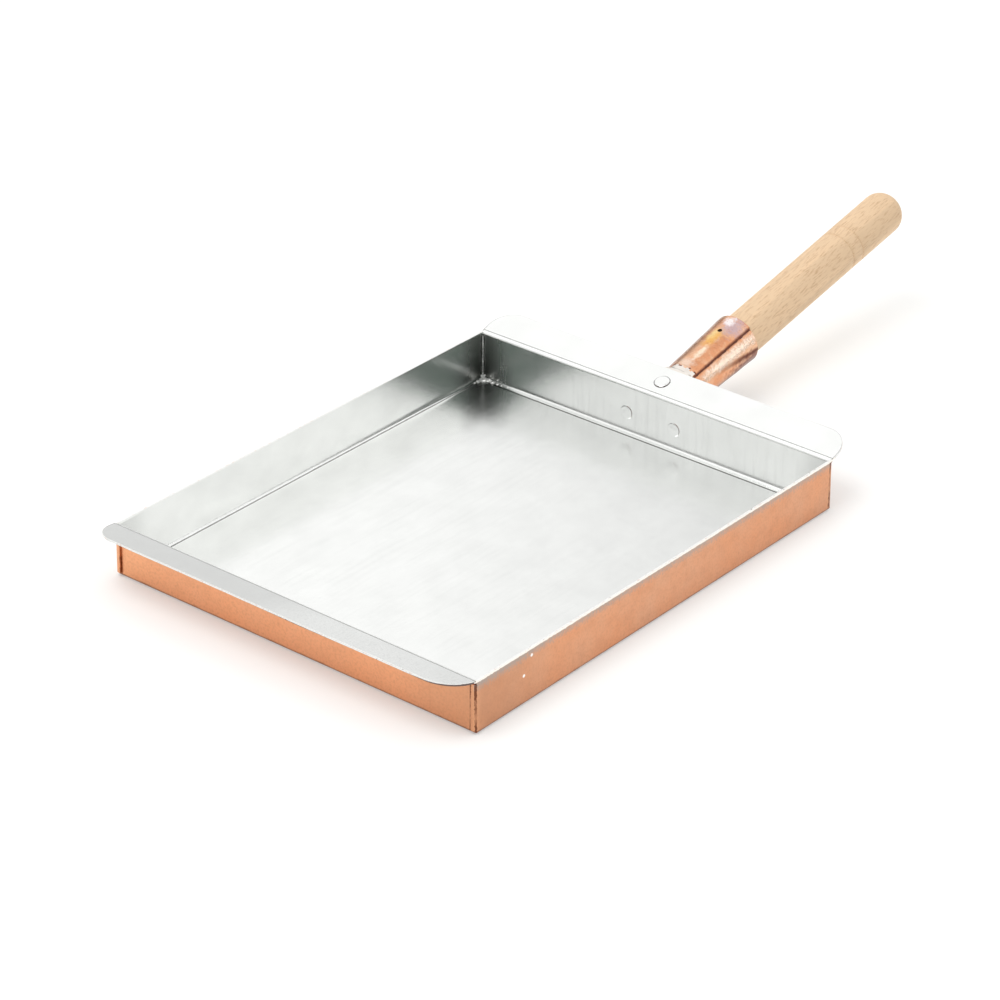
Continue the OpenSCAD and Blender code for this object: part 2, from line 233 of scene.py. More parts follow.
def make_surface(mat, shader, tone, metallic, roughness, *bumps, **others):
    """Gives a shader its colour and shine. The roughness may be a pattern and its two ends, and
    each bump is a pattern with its strength and its height in mm."""
    if isinstance(roughness, tuple):
        pattern, low, high = roughness
        roughness = add(mat, "MapRange", [pattern, 0, 1, low, high])
    below = {}
    for pattern, strength, height in bumps:
        below = {"Normal": add(mat, "Bump", {"Height": pattern, "Strength": strength,
                                             "Distance": height * MM, **below})}
    set_up(mat, shader, {"Base Color": tone, "Metallic": metallic, "Roughness": roughness,
                         **below, **others})
    return mat


def shade(value, factor):
    """A colour made darker or lighter."""
    return tuple(min(c * factor, 1.0) for c in value)


def rolled_copper(name, base, rough):
    """Rolled copper sheet, wiped clean: a satin shine with tan and rosy clouds and fine stains
    in it, brighter on the front wall with painted light, and brown along the foot. Tin ran grey
    down the side walls from their rims, and broken dark lines of flux, with painted shadow of the
    laps' steps, run down the lapped corners."""
    mat, shader, place = blank_material(name)
    _, y, z, aside, ahead = measures(mat, place)
    # clouds of tarnish about 40 mm across, stains of about 9 mm and crumbs of 1.6 mm
    clouds, stains, crumbs = (
        add(mat, "TexNoise", {"Vector": place, "Scale": 1 / (size * MM), "Detail": detail,
                              "Roughness": 0.6})
        for size, detail in ((40, 5.0), (9, 4.0), (1.6, 4.0)))
    # the rolled sheet's grain, drawn at 0.8 mm so that it shows
    grain = add(mat, "TexNoise", {"Vector": place, "Scale": 1 / (0.8 * MM), "Detail": 3.0})
    rosy = (base[0] * 0.96, base[1] * 1.08, base[2] * 1.22)
    # the right corner nearest the front has darkened
    near = add(mat, "VectorMath", [place, (0.136, -0.156, 0.022)], "DISTANCE")
    dull = add(mat, "MapRange", [near, 10 * MM, 60 * MM, 0.5, 0])
    # tin that ran down from the side walls' rims, up to 4 mm, and a white rim over the edge
    run, rim = (add(mat, "Math", [crumbs, reach * MM, z], "MULTIPLY_ADD") for reach in (11, 1.6))
    run = add(mat, "Math", [dull, 2 * MM, run], "MULTIPLY_ADD")
    outer = add(mat, "Math", [aside, 134.6 * MM], "GREATER_THAN")
    tone = lay_over(
        mat, base,
        (rosy, (clouds, 0.38, 0.66, 0, 1)),
        (shade(base, 0.62), (stains, 0.45, 0.85, 0, 0.3)),
        # painted light: the front wall is made brighter than the others
        (shade(base, 1.4), (y, -162 * MM, -165 * MM, 0, 0.5)),
        (shade(base, 0.6), (crumbs, 0.45, 0.7, 0, 0.3)),
        (shade(rosy, 0.66), dull),
        ("#A5A19D", (run, 33.5 * MM, 38.5 * MM, 0, 0.8), outer),
        ("#FFFAF2", (rim, 33.5 * MM, 33.8 * MM, 0, 0.95), outer))
    # two drops of solder on the right
    for spot in ((0.1361, -0.1189, 0.0291), (0.1361, -0.1256, 0.0188)):
        near = add(mat, "VectorMath", [place, spot], "DISTANCE")
        tone = lay_over(mat, tone, ("#FFFDFA", (near, 0.8 * MM, 1.2 * MM, 1, 0)))
    # flux, and painted shadow of the laps' steps, along the laps' edges and down the corners
    # beside them: where it lies, half its width, and how far out it has to be the other way
    for across, spot, half, other, limit in (
            (aside, 133.3, 0.55, ahead, 165), (ahead, 167.1, 0.65, aside, 134.9),
            (y, 165.3, 0.6, aside, 134.9)):
        jagged = add(mat, "Math", [crumbs, 1.8 * MM, across], "MULTIPLY_ADD")
        line = add(mat, "Math", [jagged, spot * MM, half * MM], "COMPARE")
        there = add(mat, "Math", [other, limit * MM], "GREATER_THAN")
        tone = lay_over(mat, tone, ("#5A2B1C", line, there, (z, 32.8 * MM, 33.4 * MM, 0.85, 0),
                                    (stains, 0.42, 0.6, 1, 0.3)))
    foot = add(mat, "Math", [stains, 2 * MM, z], "MULTIPLY_ADD")
    tone = lay_over(mat, tone, ("#7E4528", (foot, 2.2 * MM, 3.6 * MM, 0.8, 0)))
    return make_surface(mat, shader, tone, 1.0, (stains, rough - 0.05, rough + 0.14),
                        (clouds, 0.25, 1.0), (grain, 0.10, 0.08))


def wiped_tin(name, base, rough, creased=False):
    """Molten tin wiped over copper with a cloth: a soft grey-white mirror, a little cloudy and
    pitted, and faintly uneven along the way it was wiped. Inside the pan it is also streaked
    and mottled by work, and bears painted shade in its creases, its corners and elsewhere."""
    mat, shader, place = blank_material(name)
    clouds, specks = (
        add(mat, "TexNoise", {"Vector": place, "Scale": 1 / (size * MM), "Detail": detail})
        for size, detail in ((26, 4.0), (1.2, 3.0)))
    # wiping streaks 3 mm wide and some 60 mm long
    along = add(mat, "Mapping", {"Vector": place, "Rotation": (0, 0, math.radians(8)),
                                 "Scale": (1 / (3 * MM), 1 / (60 * MM), 1 / (40 * MM))})
    streaks = add(mat, "TexNoise", {"Vector": along, "Scale": 1.0, "Detail": 5.0,
                                    "Roughness": 0.6})
    tone = lay_over(mat, base, (shade(base, 0.95), (clouds, 0.35, 0.7, 0, 1)),
                    (shade(base, 0.62), (specks, 0.66, 0.8, 0, 0.5)))
    roughness = add(mat, "MapRange", [streaks, 0, 1, rough - 0.02, rough + 0.08])
    if creased:
        tone, roughness = mark_and_shade_tin(mat, place, base, tone, roughness, streaks, specks)
    return make_surface(mat, shader, tone, 1.0, roughness, (clouds, 0.3, 0.5),
                        (streaks, 0.12, 0.07))


def mark_and_shade_tin(mat, place, base, tone, roughness, streaks, specks):
    """What work leaves on the tin in the pan, and painted shade: streaked walls, dull folds and a
    mottled front flange; painted shade in lines along the creases and the rear flange's edge,
    in the corners, round the rivet, on the floor towards the rear wall and on the front flange's
    left."""
    x, y, z, aside, ahead = measures(mat, place)
    # the floor, the flanges with the walls' rims, and the front flange alone
    low = add(mat, "Math", [z, 2.1 * MM], "LESS_THAN")
    high = add(mat, "Math", [z, 32.9 * MM], "GREATER_THAN")
    front = add(mat, "Math", [y, -HALF_L - 0.2 * MM], "LESS_THAN")
    # the walls were wiped upwards, and show it more than the floor does
    walls = add(mat, "MapRange", [z, 2 * MM, 5 * MM, 0.06, 0.2])
    walls = add(mat, "Math", [walls, high], "SUBTRACT", use_clamp=True)
    tone = lay_over(mat, tone, (shade(base, 0.7), (streaks, 0.48, 0.72, 0, 1), walls),
                    # painted shade: the floor is greyer towards the rear wall
                    ("#8C9297", (y, 85 * MM, 145 * MM, 0, 0.1), low))
    # painted shade in the creases: where each crease lies, half its width, at which height and
    # how dark
    for across, spot, half, level, dark in (
            (ahead, 161.15, 0.52, low, 0.95), (aside, 133.1, 0.45, low, 0.75),
            (ahead, 166.85, 0.28, high, 0.6)):
        wander = add(mat, "Math", [specks, 0.5 * MM, across], "MULTIPLY_ADD")
        line = add(mat, "Math", [wander, (spot + 0.25) * MM, half * MM], "COMPARE")
        tone = lay_over(mat, tone, ("#4A4744", line, level, dark))
    # painted shade darkens the corners, most of all at their feet
    corner = add(mat, "CombineXYZ", [aside, ahead, z])
    for values, operation in (((TIN_X, TIN_Y, TIN_Z), "SUBTRACT"), ((1, 1, 0.35), "MULTIPLY")):
        corner = add(mat, "VectorMath", [corner, values], operation)
    corner = add(mat, "VectorMath", [corner], "LENGTH")
    corner = add(mat, "MapRange", [corner, 2 * MM, 25 * MM, 0.85, 0])
    corner = add(mat, "Math", [corner, high], "SUBTRACT", use_clamp=True)
    # the rear left corner far more than the others
    for way, first, last in ((x, 1.0, 0.4), (y, 0.4, 1.0)):
        share = add(mat, "MapRange", [way, -100 * MM, 100 * MM, first, last])
        corner = add(mat, "Math", [corner, share], "MULTIPLY")
    # and a broken ring of painted shade lies round the flange rivet
    rivet = REAR_FLANGE @ Vector((0, FLANGE_RIVET, TIN))
    ring = add(mat, "VectorMath", [place, rivet], "DISTANCE")
    ring = add(mat, "Math", [specks, 1.2 * MM, ring], "MULTIPLY_ADD")
    # a faint line of painted shade follows the rear flange's edge round its corners
    edge = add(mat, "CombineXYZ", [aside, y])
    for values, operation in (((119.2 * MM, 171.72 * MM, 0), "SUBTRACT"),
                              ((1, 1 / math.cos(REAR_TILT), 1), "MULTIPLY"),
                              ((0, 0, 0), "MAXIMUM")):
        edge = add(mat, "VectorMath", [edge, values], operation)
    edge = add(mat, "VectorMath", [edge], "LENGTH")
    edge = add(mat, "Math", [specks, 0.5 * MM, edge], "MULTIPLY_ADD")
    edge = add(mat, "Math", [edge, 16.85 * MM, 0.35 * MM], "COMPARE")
    tone = lay_over(
        mat, tone,
        ("#23291F", corner),
        ("#35302D", (ring, 5.6 * MM, 6.2 * MM, 0.9, 0)),
        ("#4A4744", edge, (aside, 105 * MM, 125 * MM, 0, 0.45), high),
        # the front flange is mottled, and darker on the left with painted shade
        (shade(base, 0.55), (x, -20 * MM, 60 * MM, 0.42, 0), front),
        (shade(base, 0.66), (specks, 0.48, 0.68, 0, 0.18), front))
    folds = add(mat, "Math", [ahead, 165.7 * MM, 1.3 * MM], "COMPARE")
    folds = add(mat, "Math", [folds, high], "MULTIPLY")
    for patch, rougher in ((folds, 0.36), (corner, 0.1), (walls, 0.15)):
        roughness = add(mat, "Math", [patch, rougher, roughness], "MULTIPLY_ADD")
    return tone, roughness


def heated_copper(name, base):
    """Copper that was brazed and hammered round: a bright uneven shine clouded with heat tints,
    lavender at the mouth, straw yellow along the top, and finely speckled. Painted highlights
    lie cream along the top and right of the seam, and the silver at the mouth's top is part tin,
    part painted highlight. A painted reflection slants maroon across the right side at the
    mouth, painted shade darkens both flanks, and the maroon beside the seam is part oxide, part
    painted shadow of its step."""
    mat, shader, place = blank_material(name)
    # patches of tint about 12 mm across, broken up by stains of about 3 mm and by specks
    patches, stains, specks = (
        add(mat, "TexNoise", {"Vector": place, "Scale": 1 / (size * MM), "Detail": 5.0,
                              "Roughness": 0.65}) for size in (12, 3, 0.9))
    # where on the socket: degrees from its top towards the right, and mm along it
    start = add(mat, "VectorMath", [place, SOCKET_FRAME.translation], "SUBTRACT")
    rise, run = math.sin(SOCKET_TILT), math.cos(SOCKET_TILT)
    along, above = (add(mat, "VectorMath", [start, way], "DOT_PRODUCT")
                    for way in ((0, run, rise), (0, -rise, run)))
    across = add(mat, "SeparateXYZ", [start])
    turn = add(mat, "Math", [across, above], "ARCTAN2")
    turn = add(mat, "Math", [turn, 180 / math.pi], "MULTIPLY")
    reach = add(mat, "Math", [along, 1 / MM], "MULTIPLY")
    spot = add(mat, "CombineXYZ", [turn, reach])
    tone = lay_over(mat, base, ("#F0C7A6", (patches, 0.45, 0.62, 0, 0.7)))
    # each patch's middle in degrees and mm, its reach both ways, its strength and colour. The
    # cream ones at 8 and 64 degrees and the one at 38 mm are painted highlights, the silver at
    # 85 mm is part tin and part painted highlight, the maroon at 116 degrees is a painted
    # reflection, and the dark one at -60 degrees is painted shade down the left flank
    for degrees, at, wide, long, strength, tint_and_painted_light in (
            (-20, 52, 16, 16, 0.55, "#C08A66"), (2, 68, 17, 12, 0.9, "#EDB768"),
            (-6, 70, 9, 6, 0.7, "#F6DB9C"), (20, 66, 10, 9, 0.5, "#D98E66"),
            (8, 51, 8, 8, 0.85, "#FFEFD6"), (16, 82, 26, 10, 0.85, "#CDB6BC"),
            (0, 85, 15, 5, 0.9, "#FBF3F2"), (64, 66, 14, 38, 0.92, "#FFEAD6"),
            (116, 84, 30, 24, 0.9, "#7A4334"), (0, 38, 24, 5, 0.6, "#F4E4D4"),
            (-60, 58, 10, 48, 0.95, "#5A2A1E")):
        off = add(mat, "VectorMath", [spot, (degrees, at, 0)], "SUBTRACT")
        off = add(mat, "VectorMath", [off, (1 / wide, 1 / long, 0)], "MULTIPLY")
        off = add(mat, "VectorMath", [off], "LENGTH")
        ragged = add(mat, "Math", [stains, 2.2, off], "MULTIPLY_ADD")
        tone = lay_over(mat, tone, (tint_and_painted_light, (ragged, 1.5, 2.3, strength, 0)))
    # maroon: a painted reflection that slants across the right side at the mouth, the seam's
    # borders as oxide with painted shadow of its step, and painted shade down both flanks, each
    # with its middle, its raggedness, and where it ends or starts
    slant = add(mat, "Math", [reach, -0.52, turn], "MULTIPLY_ADD")
    mouth = add(mat, "MapRange", [reach, 50, 76, 0.15, 1])
    for measure, middle, rough, first, last, near, far, where in (
            (slant, 49, 6, 5, 12, 0.9, 0, mouth), (turn, 43, 5, 3.6, 8, 0.9, 0, 1.0),
            (turn, 42, 12, 75, 91, 0, 0.9, 1.0)):
        off = add(mat, "Math", [measure, middle], "SUBTRACT")
        off = add(mat, "Math", [off], "ABSOLUTE")
        ragged = add(mat, "Math", [stains, rough, off], "MULTIPLY_ADD")
        tone = lay_over(mat, tone, ("#5F2F26", (ragged, first, last, near, far), where))
    tone = lay_over(mat, tone, ("#8E4B3A", (specks, 0.58, 0.72, 0, 0.6)))
    return make_surface(mat, shader, tone, 1.0, (stains, 0.12, 0.34), (patches, 0.5, 1.2),
                        (stains, 0.2, 0.2))


def burnt_flux_and_painted_shade(name):
    """Flux and copper scale left in a seam, and painted shade in the seam's step and round the
    rivets: dark maroon and dull.
    """
    mat, shader, place = blank_material(name)
    crust = add(mat, "TexNoise", {"Vector": place, "Scale": 1 / (1.5 * MM), "Detail": 5.0})
    tone = lay_over(mat, "#3C1A14", ("#9A5A44", crust))
    return make_surface(mat, shader, tone, 0.4, 0.5, (crust, 0.5, 0.2))


def tinned_edge(name, tin, copper):
    """The sheet's cut edge, where the tin ran over it: grey-white and ragged, with the copper
    showing through in specks, and a dark painted shadow along the front flange's lower arris."""
    mat, shader, place = blank_material(name)
    ragged = add(mat, "TexNoise", {"Vector": place, "Scale": 1 / (2.2 * MM), "Detail": 6.0,
                                   "Roughness": 0.7})
    # the height square to the front flange, and how far the painted shadow climbs on the right
    x, y, _ = add(mat, "SeparateXYZ", [place]).node.outputs
    rise = add(mat, "VectorMath", [place, (0, math.sin(FRONT_TILT), math.cos(FRONT_TILT))],
               "DOT_PRODUCT")
    right = add(mat, "MapRange", [x, 100 * MM, 125 * MM, 0.2 * MM, -0.7 * MM])
    rise = add(mat, "Math", [rise, right], "ADD")
    rise = add(mat, "Math", [ragged, 0.7 * MM, rise], "MULTIPLY_ADD")
    arris = math.cos(FRONT_TILT) * WALL_H - math.sin(FRONT_TILT) * HALF_L - SHEET
    front = add(mat, "Math", [y, -HALF_L - 1.3 * MM], "LESS_THAN")
    tone = lay_over(
        mat, tin,
        (shade(copper, 0.8), (ragged, 0.54, 0.64, 0, 0.5)),
        (shade(copper, 0.2), (ragged, 0.40, 0.32, 0, 1)),
        # painted shadow under the front flange's lower arris
        ("#4A251A", (rise, arris + 0.55 * MM, arris + 0.85 * MM, 0.9, 0), front))
    return make_surface(mat, shader, tone, 0.4, 0.45, (ragged, 0.4, 0.3))


def lumpy_solder(name, base):
    """Solder run in with an iron: half dulled by oxide, so whiter and rougher than the tin, with
    dark lines along both its borders in the upright corners."""
    mat, shader, place = blank_material(name)
    crust = add(mat, "TexNoise", {"Vector": place, "Scale": 1 / (1.6 * MM), "Detail": 5.0})
    *_, z, aside, ahead = measures(mat, place)
    # how much further the surface lies from one wall than from the other
    skew = add(mat, "Math", [ahead, aside], "SUBTRACT")
    skew = add(mat, "Math", [skew, HALF_L - HALF_W], "SUBTRACT")
    skew = add(mat, "Math", [skew], "ABSOLUTE")
    skew = add(mat, "Math", [crust, 0.7 * MM, skew], "MULTIPLY_ADD")
    upright = add(mat, "Math", [z, 4.4 * MM], "GREATER_THAN")
    tone = lay_over(mat, base, (shade(base, 0.6), (crust, 0.45, 0.75, 0, 1)),
                    ("#242722", (skew, 0.95 * MM, 1.3 * MM, 0, 0.93), upright))
    return make_surface(mat, shader, tone, 0.5, (crust, 0.12, 0.42), (crust, 0.4, 0.25))


def bare_beech(name, base, fleck):
    """Turned beech with no finish: pale and dry, with short fine flecks along the grain and
    broad soft bands of growth."""
    mat, shader, place = blank_material(name)
    # the grain runs along the handle, which rises from the horizontal
    level = add(mat, "Mapping", {"Vector": place, "Rotation": (-SOCKET_TILT, 0, 0)})
    # flecks about 0.9 mm wide and 7 mm long (real ones are half as wide, too fine to show),
    # and bands about 7 mm wide, 160 mm long and 11 mm deep
    fine, broad = (
        add(mat, "Mapping", {"Vector": level, "Scale": [1 / (size * MM) for size in sizes]})
        for sizes in ((0.9, 7, 0.9), (7, 160, 11)))
    flecks = add(mat, "TexNoise", {"Vector": fine, "Scale": 1.0, "Detail": 3.0, "Roughness": 0.6})
    bands = add(mat, "TexNoise", {"Vector": broad, "Scale": 1.0, "Detail": 4.0, "Distortion": 0.6})
    tone = lay_over(mat, base, (shade(base, 0.86), (bands, 0.35, 0.7, 0, 1)),
                    (fleck, (flecks, 0.50, 0.72, 0, 0.55)))
    return make_surface(mat, shader, tone, 0.0, (bands, 0.5, 0.66), (flecks, 0.25, 0.1), IOR=1.45)


def dark_nail(name):
    """A steel nail, dark from the forge and dull, and darker still as painted shade of the hole
    it sits in.
    """
    mat, shader, place = blank_material(name)
    scale = add(mat, "TexNoise", {"Vector": place, "Scale": 1 / (0.8 * MM), "Detail": 4.0})
    tone = lay_over(mat, "#2B2624", ("#574840", scale))
    return make_surface(mat, shader, tone, 1.0, 0.55, (scale, 0.4, 0.2))


# Shapes

def sheet_copy(node, pitch):
    """A merged copy of a CAD node's mesh, cut into a grid that can bend."""
    bm = bmesh.new()
    bm.from_mesh(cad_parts[node].data)
    bmesh.ops.remove_doubles(bm, verts=bm.verts, dist=0.001 * MM)
    bmesh.ops.dissolve_limit(bm, angle_limit=math.radians(0.3), verts=bm.verts, edges=bm.edges)
    low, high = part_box(node)
    # cuts at the pitch both ways, and every 8 mm upwards
    for axis, step in enumerate((pitch, pitch, 8 * MM)):
        normal = Vector([float(axis == i) for i in range(3)])
        for i in range(1, math.ceil((high[axis] - low[axis]) / step)):
            cut(bm, normal * (low[axis] + i * step), normal)
    return bm


def cut(bm, spot, normal, **settings):
    """Cuts the whole mesh with a plane."""
    bmesh.ops.bisect_plane(bm, geom=bm.verts[:] + bm.edges[:] + bm.faces[:], dist=TOUCH,
                           plane_co=spot, plane_no=normal, **settings)


def hand_bent(co, sizes):
    """Where a point of the straight sheet lies on the hand-made one: always inside the straight
    one's outline, and unmoved at the foot and round the socket."""
    x, y, z = co / MM
    # how near it is to the socket, how free to move, how near a side wall (negative on the
    # left), an end wall (negative in front), a flange's edge and a rim
    socket = (1 - ease(30, 62, abs(x))) * ease(100, 150, y)
    free = (1 - socket) * ease(2, 30, z)
    side = ease(105, 134, abs(x)) * math.copysign(1, x)
    end = ease(135, 164, abs(y)) * math.copysign(1, y)
    out = ease(169, 184, abs(y))
    rim = ease(26, 34, z)
    return co + Vector((
        -side * free * sizes.wave * ripple(y / 75, z / 60, side),
        -end * free * sizes.wave * ripple(x / 80, z / 60, 3 + end)
        - end * (1 - socket) * ease(180, 186, abs(y)) * sizes.cut_wave * ripple(x / 4, 0, 5 + end),
        out * (1 - socket) * sizes.wave * (ripple(x / 55, 0, 8 + end) - 0.5) * 1.6
        - abs(side) * (1 - out) * rim * 0.7 * sizes.cut_wave * ripple(y / 9, 0, 11 + side),
    ))


def tighten(bm):
    """Draws the tin's round fillets in to the shapes they were wiped to: low and wide at the end
    walls, tall and narrow at the side walls."""
    # of the fillet, what a wiped one keeps of its longer and its shorter side
    fillet, longer, shorter, hair = 4 * MM, 0.9, 0.42, 1e-6
    for vert in bm.verts:
        x, y, z = vert.co
        from_side, from_end, up = TIN_X - abs(x), TIN_Y - abs(y), z - TIN_Z
        if not (up > -hair and up < fillet and min(from_side, from_end) > -hair):
            continue
        if from_end < fillet and from_side > fillet:
            vert.co = (x, math.copysign(TIN_Y - from_end * longer, y), TIN_Z + up * shorter)
        elif from_side < fillet and from_end > fillet:
            vert.co = (math.copysign(TIN_X - from_side * shorter, x), y, TIN_Z + up * longer)


def finish_piece(bm, name, materials, nodes, sharp=35):
    """Makes the piece's object, smooth but sharp at its edges, hangs it from the root body and
    hides the CAD nodes that it stands for.
    """
    for face in bm.faces:
        face.smooth = True
    for edge in bm.edges:
        edge.smooth = edge.calc_face_angle(0) < math.radians(sharp)
    mesh = bpy.data.meshes.new(name)
    bm.to_mesh(mesh)
    bm.free()
    for material in materials:
        mesh.materials.append(material)
    piece = bpy.data.objects.new(name, mesh)
    bpy.context.scene.collection.objects.link(piece)
    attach(piece, "root")
    if nodes:
        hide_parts(*nodes)
    return piece


def bent_sheet(name, node, materials, sizes):
    """A CAD sheet with the unevenness of hand work. A second material goes on its cut edges."""
    bm = sheet_copy(node, sizes.pitch)
    cut_edges = len(materials) > 1
    if not cut_edges:
        tighten(bm)
    for face in bm.faces:
        x, y, z = face.calc_center_median() / MM
        # the tops of the side walls, and the edges round the flanges
        rim = abs(x) > 134.5 and z > 34 and face.normal.z > 0.9
        flange = abs(y) > 167.6 and z > 28 and abs(face.normal.z) < 0.5
        face.material_index = int(cut_edges and (rim or flange))
    for vert in bm.verts:
        vert.co = hand_bent(vert.co, sizes)
    return finish_piece(bm, name, materials, [node])


def flat_to_the_eye(piece):
    """Keeps a piece's flat faces flat beside its roundings."""
    piece.modifiers.new("Flat faces", "WEIGHTED_NORMAL").keep_sharp = True


def turned(profile, steps=64):
    """A turned solid from a profile of (radius, height) points, from one pole to the other."""
    bm = bmesh.new()
    verts = [bm.verts.new((r, 0, h)) for r, h in profile]
    edges = [bm.edges.new(pair) for pair in zip(verts, verts[1:])]
    bmesh.ops.spin(bm, geom=verts + edges, cent=(0, 0, 0), axis=(0, 0, 1),
                   angle=2 * math.pi, steps=steps, use_merge=True)
    bmesh.ops.remove_doubles(bm, verts=bm.verts, dist=0.0005 * MM)
    bmesh.ops.recalc_face_normals(bm, faces=bm.faces)
    return bm


def lay_grid(bm, across, along, place):
    """Adds a sheet of faces, and puts each point where place says for its share of the width
    and of the length."""
    for vert in bmesh.ops.create_grid(bm, x_segments=across, y_segments=along, size=0.5)["verts"]:
        vert.co = place(vert.co.x + 0.5, vert.co.y + 0.5)


def thicken(bm, thickness, lean):
    """Faces a sheet the way in which lean adds up above zero, and gives it a thickness."""
    bmesh.ops.recalc_face_normals(bm, faces=bm.faces)
    if sum(lean(face) for face in bm.faces) < 0:
        bmesh.ops.reverse_faces(bm, faces=bm.faces)
    bmesh.ops.solidify(bm, geom=bm.faces[:], thickness=thickness)


def join(bm, part):
    """Moves a part's mesh into another."""
    mesh = bpy.data.meshes.new("part")
    part.to_mesh(mesh)
    part.free()
    bm.from_mesh(mesh)
    bpy.data.meshes.remove(mesh)


class PAN_OT_stage(Operator):
    """Pale floor, soft white surroundings, one soft light and the camera"""
    bl_idname = "pan.stage"
    bl_label = "Stage"

    def execute(self, context):
        sizes = context.scene.pan_stage
        self.floor(sizes)
        self.surroundings(sizes)
        self.overhead(sizes)
        self.camera(context)
        context.scene.view_settings.view_transform = "Standard"
        return {"FINISHED"}

    def floor(self, sizes):
        """Matt white paper with a faint tooth, which glows a little to soften the shadows."""
        bm = bmesh.new()
        bmesh.ops.create_grid(bm, x_segments=1, y_segments=1, size=sizes.floor / 2)
        mesh = bpy.data.meshes.new("floor")
        bm.to_mesh(mesh)
        bm.free()
        mat, shader, place = blank_material("matt white paper")
        tooth = add(mat, "TexNoise", {"Vector": place, "Scale": 1 / (3 * MM), "Detail": 4.0})
        tone = lay_over(mat, sizes.paper, (shade(sizes.paper, 0.985), tooth))
        set_up(mat, shader, {"Base Color": tone, "Roughness": 0.9, "Specular IOR Level": 0.1,
                             "Emission Color": sizes.paper, "Emission Strength": sizes.lift})
        mesh.materials.append(mat)
        floor = bpy.data.objects.new("floor", mesh)
        bpy.context.scene.collection.objects.link(floor)

    def surroundings(self, sizes):
        """White all round and brighter higher up, a little grey in front and behind on the left,
        with a low bright window behind on the right, and dark on the camera's side."""
        world = bpy.data.worlds.new("studio")
        world.use_nodes = True
        world.node_tree.nodes.clear()
        way = add(world, "TexCoord").node.outputs["Generated"]
        level = sizes.dome
        # each part of the sky: its direction, the nearness between which its share changes
        for towards, near, far, first, last in (
                (UP, 0.20, 0.44, 0.58, 1.0), (UP, 0.04, 0.24, 0.16, 1.0),
                (UP, 0.90, 0.97, 1.0, 0.76), ((-0.555, -0.679, 0.480), 0.60, 0.95, 1.0, 0.9),
                ((-0.36, 0.80, 0.472), 0.965, 0.99, 1.0, 0.6),
                ((0.82, 0.565, 0.06), 0.97, 0.995, 1.0, 4.5)):
            facing = add(world, "VectorMath", [way, towards], "DOT_PRODUCT")
            share = add(world, "MapRange", [facing, near, far, first, last])
            level = add(world, "Math", [level, share], "MULTIPLY")
        facing = add(world, "VectorMath", [way, (0.555, -0.679, 0.480)], "DOT_PRODUCT")
        room = add(world, "MapRange", [facing, 0.85, 0.93], interpolation_type="SMOOTHSTEP")
        tone = lay_over(world, (1, 1, 1), ((0.012, 0.045, 0.028), room))
        light = add(world, "Background", {"Color": tone, "Strength": level})
        add(world, "OutputWorld", {"Surface": light})
        bpy.context.scene.world = world

    def overhead(self, sizes):
        """A round lamp 1.4 m wide, above and in front of the pan, and aimed at it."""
        lamp = bpy.data.lights.new("overhead", "AREA")
        lamp.shape = "DISK"
        lamp.size = 1.4
        lamp.energy = sizes.overhead
        light = bpy.data.objects.new("overhead", lamp)
        light.location = (-0.25, -0.8, 2.1)
        light.rotation_euler = (-light.location).to_track_quat("-Z", "Y").to_euler()
        bpy.context.scene.collection.objects.link(light)

    def camera(self, context):
        """A long lens on the right in front, at the photograph's angles."""
        azimuth, elevation, roll = (math.radians(a) for a in (39.29, 28.66, 0.47))
        away, aside, above = 2.222, 12.1 * MM, 24.6 * MM
        back = Vector((math.sin(azimuth) * math.cos(elevation),
                       -math.cos(azimuth) * math.cos(elevation), math.sin(elevation)))
        level = UP.cross(back).normalized()
        upright = back.cross(level)
        right = level * math.cos(roll) + upright * math.sin(roll)
        up = upright * math.cos(roll) - level * math.sin(roll)
        lens = bpy.data.cameras.new("camera")
        lens.lens = 135
        lens.sensor_width = 36
        camera = bpy.data.objects.new("camera", lens)
        turn = Matrix((right, up, back)).transposed().to_4x4()
        camera.matrix_world = Matrix.Translation(back * away + right * aside + up * above) @ turn
        context.scene.collection.objects.link(camera)
        context.scene.camera = camera


class PAN_OT_copper(Operator):
    """The copper sheet: floor, walls, flanges and lapped corners"""
    bl_idname = "pan.copper"
    bl_label = "Copper pan"

    def execute(self, context):
        sizes = context.scene.pan_sheet
        mats = (rolled_copper("rolled copper, wiped", sizes.copper, 0.30),
                tinned_edge("sheared copper, tinned", sizes.tin, sizes.copper))
        piece = bent_sheet("copper_pan", "pan_body", mats, sizes)
        rounding = piece.modifiers.new("Edge rounding", "BEVEL")
        rounding.width = sizes.edge
        rounding.segments = 2
        rounding.limit_method = "ANGLE"
        rounding.angle_limit = math.radians(50)
        flat_to_the_eye(piece)
        return {"FINISHED"}


class PAN_OT_tin(Operator):
    """The wiped tin inside the pan and on its flanges"""
    bl_idname = "pan.tin"
    bl_label = "Tin coat"

    def execute(self, context):
        sizes = context.scene.pan_sheet
        mats = [wiped_tin("wiped tin", sizes.tin, 0.18, creased=True)]
        flat_to_the_eye(bent_sheet("tin_coat", "tin_lining", mats, sizes))
        return {"FINISHED"}


